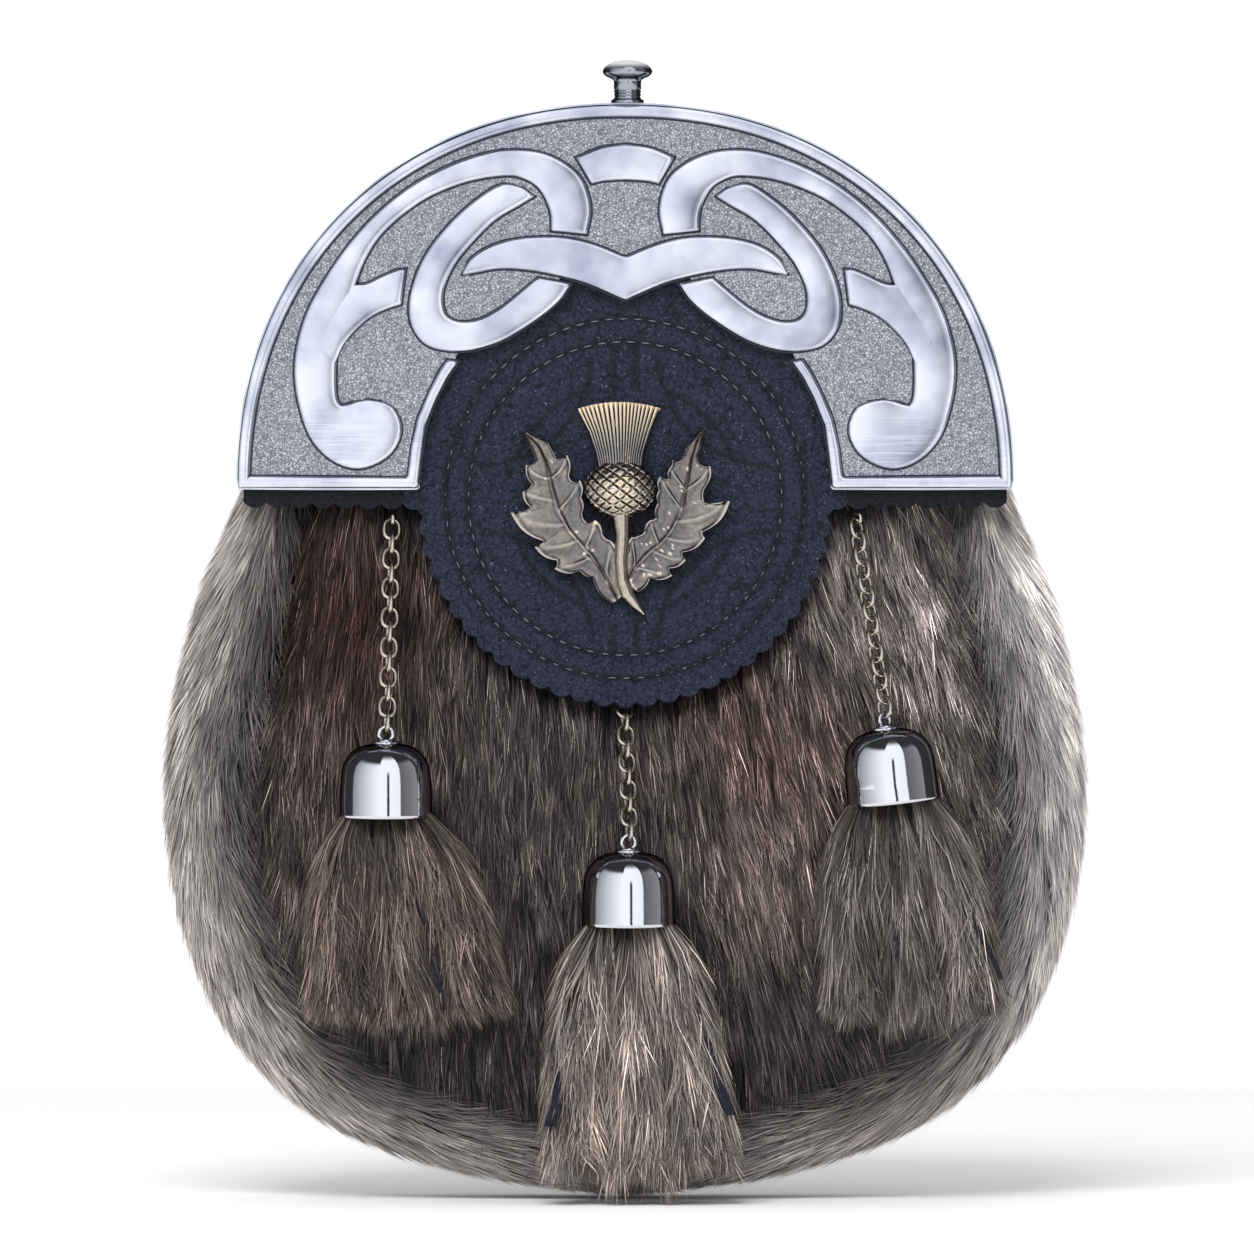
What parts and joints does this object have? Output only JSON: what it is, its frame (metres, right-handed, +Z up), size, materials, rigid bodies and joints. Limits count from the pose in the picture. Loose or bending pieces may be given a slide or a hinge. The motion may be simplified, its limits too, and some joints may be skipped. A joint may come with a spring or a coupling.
{
  "type": "full-dress sporran pouch",
  "caption": "Fur sporran pouch with a cast metal cantle, a navy leather apron with a thistle badge, and fur tassels in polished bells on chains.",
  "frame": {"origin": "where the waist strap passes behind the pouch, midway between the two wire loops on its back", "axes": "+Z up as worn, +Y towards the wearer, -Y the decorated front, +X to the right of someone facing it"},
  "size_m": [0.198, 0.0654, 0.2425],
  "materials": {
    "antiqued silver": "cast relief, polished bands on a matt stippled ground",
    "bright nickel": "bright, turned or bent wire",
    "polished chrome": "mirror polish",
    "dull nickel wire": "dull nickel",
    "antiqued bronze": "antiqued casting",
    "navy grained leather": "grained, stitched and tooled",
    "black leather": "smooth",
    "dark brown fur": "deep fur",
    "pale grey fur": "deep fur"
  },
  "bodies": {
    "root": {"apron": "navy grained leather", "back_panel": "black leather", "bell_centre": "polished chrome", "bell_left": "polished chrome", "bell_right": "polished chrome", "cantle": "antiqued silver", "cantle_knob": "bright nickel", "fur_front": "dark brown fur", "fur_gusset": "pale grey fur", "link_centre_01": "dull nickel wire", "link_centre_02": "dull nickel wire", "link_centre_03": "dull nickel wire", "link_centre_04": "dull nickel wire", "link_centre_05": "dull nickel wire", "link_centre_06": "dull nickel wire", "link_centre_07": "dull nickel wire", "link_centre_08": "dull nickel wire", "link_centre_09": "dull nickel wire", "link_centre_10": "dull nickel wire", "link_left_01": "dull nickel wire", "link_left_02": "dull nickel wire", "link_left_03": "dull nickel wire", "link_left_04": "dull nickel wire", "link_left_05": "dull nickel wire", "link_left_06": "dull nickel wire", "link_left_07": "dull nickel wire", "link_left_08": "dull nickel wire", "link_left_09": "dull nickel wire", "link_left_10": "dull nickel wire", "link_left_11": "dull nickel wire", "link_left_12": "dull nickel wire", "link_left_13": "dull nickel wire", "link_left_14": "dull nickel wire", "link_right_01": "dull nickel wire", "link_right_02": "dull nickel wire", "link_right_03": "dull nickel wire", "link_right_04": "dull nickel wire", "link_right_05": "dull nickel wire", "link_right_06": "dull nickel wire", "link_right_07": "dull nickel wire", "link_right_08": "dull nickel wire", "link_right_09": "dull nickel wire", "link_right_10": "dull nickel wire", "link_right_11": "dull nickel wire", "link_right_12": "dull nickel wire", "link_right_13": "dull nickel wire", "link_right_14": "dull nickel wire", "staple_centre": "dull nickel wire", "staple_left": "dull nickel wire", "staple_right": "dull nickel wire", "strap_loop_left": "bright nickel", "strap_loop_right": "bright nickel", "tassel_centre": "dark brown fur", "tassel_left": "dark brown fur", "tassel_right": "dark brown fur", "thistle_badge": "antiqued bronze"}
  },
  "joints": []
}
